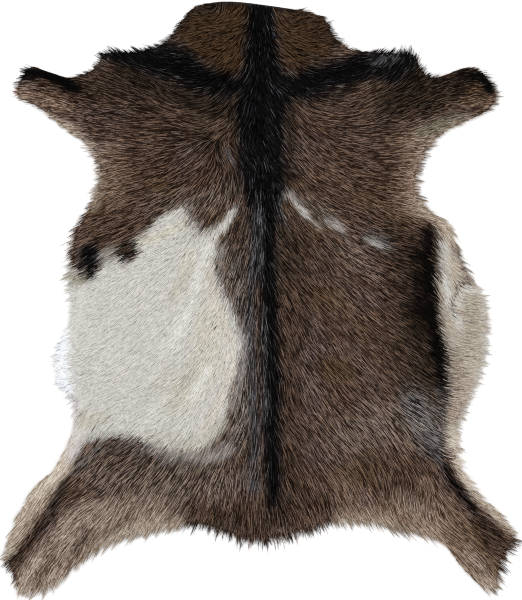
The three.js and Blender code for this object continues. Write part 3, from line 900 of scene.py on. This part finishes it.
def lock_roots(count, dice):
    """Places for about count locks, one at a random spot in each cell of an even net"""
    area = np.count_nonzero(rim_depth > ROOT_INSET) * GRID_STEP**2
    pitch = math.sqrt(area / count)
    columns = np.arange(grid_x.min(), grid_x.max(), pitch)
    rows = np.arange(grid_y.min(), grid_y.max(), pitch)
    x, y = (side.ravel() for side in np.meshgrid(columns, rows))
    x = x + dice.uniform(0, pitch, x.shape)
    y = y + dice.uniform(0, pitch, y.shape)
    keep = read(rim_depth, x, y) > ROOT_INSET
    return x[keep], y[keep]


def lock_paths(x, y, length, sway):
    """Each lock's line along the lie of the hair"""
    step = length / PATH_STEPS
    turn_x, turn_y = np.cos(sway), np.sin(sway)
    line = [(x, y)]
    for _ in range(PATH_STEPS):
        here = read(lie, *line[-1])
        step_x = (here[:, 0] * turn_x - here[:, 1] * turn_y) * step
        step_y = (here[:, 0] * turn_y + here[:, 1] * turn_x) * step
        line.append((line[-1][0] + step_x, line[-1][1] + step_y))
    return np.array(line)


def share_within(line, limit):
    """The share of each path that lies within its own limit past the rim"""
    depth = read(rim_depth, line[:, 0], line[:, 1])
    steps = np.minimum.accumulate(depth > limit, axis=0).sum(0)
    before, after = np.clip(steps - 1, 0, PATH_STEPS), np.clip(steps, 0, PATH_STEPS)
    which = np.arange(line.shape[2])
    near, far = depth[before, which], depth[after, which]
    beyond = np.where(after > before, (near - limit) / np.maximum(near - far, 1e-6), 0)
    return np.clip((before + np.clip(beyond, 0, 1)) / PATH_STEPS, LEAST_SHARE, 1)


def along_path(line, share):
    """The place at a share of the way along each path"""
    at = np.clip(share * PATH_STEPS, 0, PATH_STEPS - 1e-6)
    before = at.astype(int)
    blend = at - before
    which = np.arange(line.shape[2])
    near, far = line[before, :, which], line[before + 1, :, which]
    return near + (far - near) * blend[:, None]


def hair_reach(line, x, y, lock, dice):
    """The share of its lock's line that each hair covers, held back near the rim"""
    count = len(lock)
    bold = REACH_SPREAD * dice.uniform(0, 1, count) ** WISPINESS
    bold = SHORTEST_REACH + bold * dice.uniform(*TUFT_REACH, len(x))[lock]
    limit = -(read(rim_reach, x, y)[lock] + REACH_GROWTH) * bold
    return share_within(line, limit) * dice.uniform(*HAIR_LENGTHS, count)


def hair_colours(layer, line, reach, lock_tone, belly_x, belly_y, dice):
    """Each hair's darkest and lightest colour and its tone between them"""
    count = len(reach)
    look = along_path(line, np.clip(reach * dice.uniform(*COLOUR_PLACES, count), 0, 1))
    look += dice.normal(0, STRAY, look.shape)
    dark = read(hair_dark, look[:, 0], look[:, 1])
    light = read(hair_light, look[:, 0], look[:, 1])
    warmth = HUE_SPREAD * dice.normal(0, 1, count)[:, None] * (1, 0, -1) * (1 - light) ** 2
    dark, light = dark * (1 + warmth), light * (1 + warmth)
    tone = lock_tone + layer["speckle"] * dice.normal(0, 1, count)
    tone += BROAD_STREAK_TONE * streak_at("broad", belly_x, belly_y)
    tone += FINE_STREAK_TONE * streak_at("fine", belly_x, belly_y)
    tone += CLUMP_TONE * uneven(look[:, 0], look[:, 1], CLUMP_PITCH, CLUMP_SEED)
    tone += read(hair_bias, look[:, 0], look[:, 1])
    return dark, light, 1 / (1 + np.exp(-TONE_GAIN * tone))


def comb_layer(layer, seed):
    """The corners of every hair in a layer, its darkest and lightest colour and its tone"""
    dice = np.random.default_rng(seed)
    x, y = lock_roots(layer["locks"], dice)
    locks = len(x)
    length = read(hair_length, x, y) * layer["length"]
    length *= 1 + LENGTH_SPREAD * dice.uniform(-1, 1, locks)
    sway = np.radians(layer["tangle"]) * dice.normal(0, TANGLE_SPREAD, locks)
    line = lock_paths(x, y, length, sway)
    paleness = read(hair_light, x, y)[:, 1]
    sleek = 1 - PALE_SLEEKNESS * paleness
    height = 1 + (layer["height"] - 1) * sleek
    height *= 1 + HEIGHT_SPREAD * sleek * dice.normal(0, 1, locks)
    tone = layer["tone"] + LOCK_TONE_SPREAD * dice.normal(0, 1, locks)

    # Each lock opens into its hairs, side by side from -1 to 1 across it
    hairs = layer["hairs"]
    lock = np.repeat(np.arange(locks), hairs)
    count = len(lock)
    line = line[:, :, lock]
    place = np.tile(np.linspace(-1, 1, hairs) if hairs > 1 else [0], locks)
    place = place + dice.normal(0, PLACE_SPREAD, count)
    reach = hair_reach(line, x, y, lock, dice)
    slide = dice.uniform(-1, 1, count) * ROOT_SLIDE
    paleness, sleek = paleness[lock], sleek[lock]
    rise = height[lock] * (1 + HAIR_HEIGHT_SPREAD * sleek * dice.normal(0, 1, count))
    roll = sleek * np.radians(LOCK_ROLL * place + HAIR_ROLL * dice.normal(0, 1, count))
    bow = dice.normal(0, HAIR_BOW, count)

    # The hair's middle line, seen from above and then from the side
    stations = np.array(STRAND_STATIONS)
    centre = np.stack([
        along_path(line, np.clip((s + slide * (1 - s)) * reach, 0, 1)) for s in stations
    ], 1)
    ahead = np.gradient(centre, axis=1)
    ahead /= np.linalg.norm(ahead, axis=2)[..., None] + 1e-9
    side = np.stack([-ahead[..., 1], ahead[..., 0]], -1)
    half_lock = LOCK_WIDTH / 2 * (1 + (LOCK_TIP_SHARE - 1) * stations)
    offset = place[:, None] * half_lock + bow[:, None] * np.sin(np.pi * stations)
    centre += side * offset[..., None]
    px, py = centre[..., 0], centre[..., 1]
    ground = np.where(read(rim_depth, px, py) > 0, read(skin_top, px, py), FLOOR_LIFT)
    lean = rise[:, None] * (1 - (1 - stations) ** RISE_ROUNDING)
    lean *= 1 + STREAK_HEIGHT * streak_at("broad", px, py)
    z = ground + (read(coat_height, px, py) - ground) * lean
    crown = np.sin(np.pi * stations / LOCK_CROWN_LENGTH)
    z += LOCK_CROWN * (1 - place[:, None] ** 2).clip(0) * crown
    z = np.maximum(z, LOWEST_TIP)

    # The blade's two edges, rolled a little about that line, and its tip
    half = layer["wide"] * np.array(STRAND_WIDTHS) / 2 * dice.uniform(*HAIR_WIDTHS, (count, 1))
    half *= 1 + PALE_FULLNESS * paleness[:, None] ** 2
    flat = half * np.cos(roll)[:, None]
    tilt = half * np.sin(roll)[:, None]
    corners = np.zeros((count, STRAND_CORNERS, 3))
    for station in range(len(STRAND_WIDTHS)):
        for edge, sign in ((0, 1), (1, -1)):
            corner = corners[:, 2 * station + edge]
            corner[:, :2] = centre[:, station] + sign * side[:, station] * flat[:, station, None]
            corner[:, 2] = np.maximum(z[:, station] + sign * tilt[:, station], LOWEST_EDGE)
    corners[:, -1] = np.column_stack([centre[:, -1], z[:, -1]])
    return corners, *hair_colours(layer, line, reach, tone[lock], px[:, 2], py[:, 2], dice)


# The share of a hair's cell in the colour map that is left clear on each side of it
CELL_MARGIN = 0.16


def cell_corners(order, count):
    """Each hair's own cell of the colour map, hairs of like colour side by side"""
    side = math.ceil(math.sqrt(count))
    rank = np.empty(count, int)
    rank[order] = np.arange(count)
    row = rank // side
    column = np.where(row % 2, side - 1 - rank % side, rank % side)
    low, high = CELL_MARGIN, 1 - CELL_MARGIN
    third = (high - low) / 3
    shape = np.array([
        (low, low), (high, low), (low, low + third), (high, low + third),
        (low, low + 2 * third), (high, low + 2 * third), (0.5, high),
    ])
    uv = np.stack([column[:, None] + shape[:, 0], row[:, None] + shape[:, 1]], -1)
    return uv / side


HAIR_FACES = [(1, 3, 2, 0), (3, 5, 4, 2), (5, 6, 4)]
# How much red, green and blue each count towards brightness
BRIGHTNESS = (0.2126, 0.7152, 0.0722)


def hair_mesh(name, corners, dark, light, tone):
    """One mesh of every hair in a layer, a narrow blade of three faces each"""
    count = len(corners)
    loops = np.concatenate([np.array(face) for face in HAIR_FACES])
    mesh = bpy.data.meshes.new(name)
    mesh.vertices.add(count * STRAND_CORNERS)
    mesh.vertices.foreach_set("co", corners.ravel())
    mesh.loops.add(count * len(loops))
    corner_of = (np.arange(count)[:, None] * STRAND_CORNERS + loops).ravel()
    mesh.loops.foreach_set("vertex_index", corner_of)
    sizes = np.tile([len(face) for face in HAIR_FACES], count)
    mesh.polygons.add(len(sizes))
    mesh.polygons.foreach_set("loop_start", np.cumsum(sizes) - sizes)
    mesh.polygons.foreach_set("loop_total", sizes)
    mesh.update(calc_edges=True)
    mesh.polygons.foreach_set("use_smooth", np.ones(len(sizes), bool))
    for attribute, colour in (("dark_hair", dark), ("light_hair", light)):
        values = np.ones((count, STRAND_CORNERS, 4))
        values[..., :3] = colour[:, None]
        stain = mesh.color_attributes.new(attribute, "FLOAT_COLOR", "POINT")
        stain.data.foreach_set("color", values.ravel())
    along = np.repeat(STRAND_STATIONS, (2, 2, 2, 1))
    for attribute, values in (
        ("tone", np.repeat(tone, STRAND_CORNERS)), ("along", np.tile(along, count)),
    ):
        mesh.attributes.new(attribute, "FLOAT", "POINT").data.foreach_set("value", values)
    middle = dark + (light - dark) * tone[:, None]
    uv = cell_corners(np.argsort(middle @ BRIGHTNESS), count)
    cells = mesh.uv_layers.new(name="OFBake")
    cells.data.foreach_set("uv", uv.reshape(-1, 2)[corner_of].ravel())
    return mesh


# Goat hair, a keratin fibre with a smooth, slightly waxy cuticle: soft long highlights, every hair
# between its region's darkest and lightest, darker and duller at the root than at the tip.
hair, output = fresh_material("natural_goat_hair")
darkest = add_node(hair, "ShaderNodeAttribute", settings={"attribute_name": "dark_hair"})
lightest = add_node(hair, "ShaderNodeAttribute", settings={"attribute_name": "light_hair"})
tone = add_node(hair, "ShaderNodeAttribute", settings={"attribute_name": "tone"})
along = add_node(hair, "ShaderNodeAttribute", settings={"attribute_name": "along"})
single = add_node(
    hair, "ShaderNodeMix", settings={"data_type": "RGBA"},
    links={0: tone.outputs["Fac"], 6: darkest.outputs["Color"], 7: lightest.outputs["Color"]},
)
root_shade = add_node(
    hair, "ShaderNodeMapRange", values={"To Min": 0.4, "To Max": 0.0, "From Max": 0.8},
    links={"Value": along.outputs["Fac"]},
)
shaded = add_node(
    hair, "ShaderNodeMix", settings={"data_type": "RGBA"},
    links={0: root_shade.outputs["Result"], 6: single.outputs[2], 7: darkest.outputs["Color"]},
)
surface = add_node(
    hair, "ShaderNodeBsdfPrincipled",
    values={"Roughness": 0.5, "IOR": 1.55, "Specular IOR Level": 0.035},
    links={"Base Color": shaded.outputs[2]},
)
hair.node_tree.links.new(surface.outputs["BSDF"], output.inputs["Surface"])

for seed, layer in enumerate(LAYERS, start=1):
    mesh = hair_mesh(layer["name"], *comb_layer(layer, seed))
    piece = bpy.data.objects.new(layer["name"], mesh)
    bpy.context.collection.objects.link(piece)
    mesh.materials.append(hair)
    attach(piece, "root")
    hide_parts("goatskin")


# The studio: a plain, nearly white floor, even light from all round with one large soft lamp
# above the neck's left, and the camera straight above the hide.
CAMERA_HEIGHT = 4.0
CAMERA_LENS = 150
FLOOR_WIDTH = 12
ROOM_LIGHT = 0.75
# The photograph's middle pixel, which the camera looks down on
VIEW_PIXEL = (261, 300)
bpy.ops.object.select_all(action="DESELECT")
bpy.ops.mesh.primitive_plane_add(size=FLOOR_WIDTH, location=(0, 0, 0))
floor = bpy.context.object
floor.name = "floor"
paper, output = fresh_material("matt_white_paper")
surface = add_node(
    paper, "ShaderNodeBsdfPrincipled",
    values={"Base Color": (*linear("#f6f6f6"), 1), "Roughness": 0.9, "Specular IOR Level": 0.1},
)
paper.node_tree.links.new(surface.outputs["BSDF"], output.inputs["Surface"])
floor.data.materials.append(paper)

world = bpy.data.worlds.new("studio")
bpy.context.scene.world = world
world.use_nodes = True
world.node_tree.nodes["Background"].inputs["Color"].default_value = (1, 1, 1, 1)
world.node_tree.nodes["Background"].inputs["Strength"].default_value = ROOM_LIGHT

LAMPS = [
    {"name": "key", "place": (-1.6, 1.9, 2.6), "width": 1.6, "power": 62},
    {"name": "fill", "place": (2.2, -0.6, 2.4), "width": 2.2, "power": 22},
]
for lamp in LAMPS:
    light = bpy.data.lights.new(lamp["name"], "AREA")
    light.shape = "DISK"
    light.size = lamp["width"]
    light.energy = lamp["power"]
    holder = bpy.data.objects.new(lamp["name"], light)
    bpy.context.collection.objects.link(holder)
    holder.location = lamp["place"]
    away = holder.location.normalized()
    holder.rotation_euler = away.to_track_quat("Z", "Y").to_euler()
    holder.visible_camera = False

# Denoising, or a wide pixel filter, would smear single hairs together
PIXEL_FILTER = 1.15
bpy.context.scene.cycles.use_denoising = False
bpy.context.scene.cycles.filter_width = PIXEL_FILTER

camera_data = bpy.data.cameras.new("camera")
camera_data.lens = CAMERA_LENS
camera = bpy.data.objects.new("camera", camera_data)
bpy.context.collection.objects.link(camera)
camera.location = (*on_hide([VIEW_PIXEL])[0], CAMERA_HEIGHT)
bpy.context.scene.camera = camera
bpy.context.scene.view_settings.view_transform = "Standard"
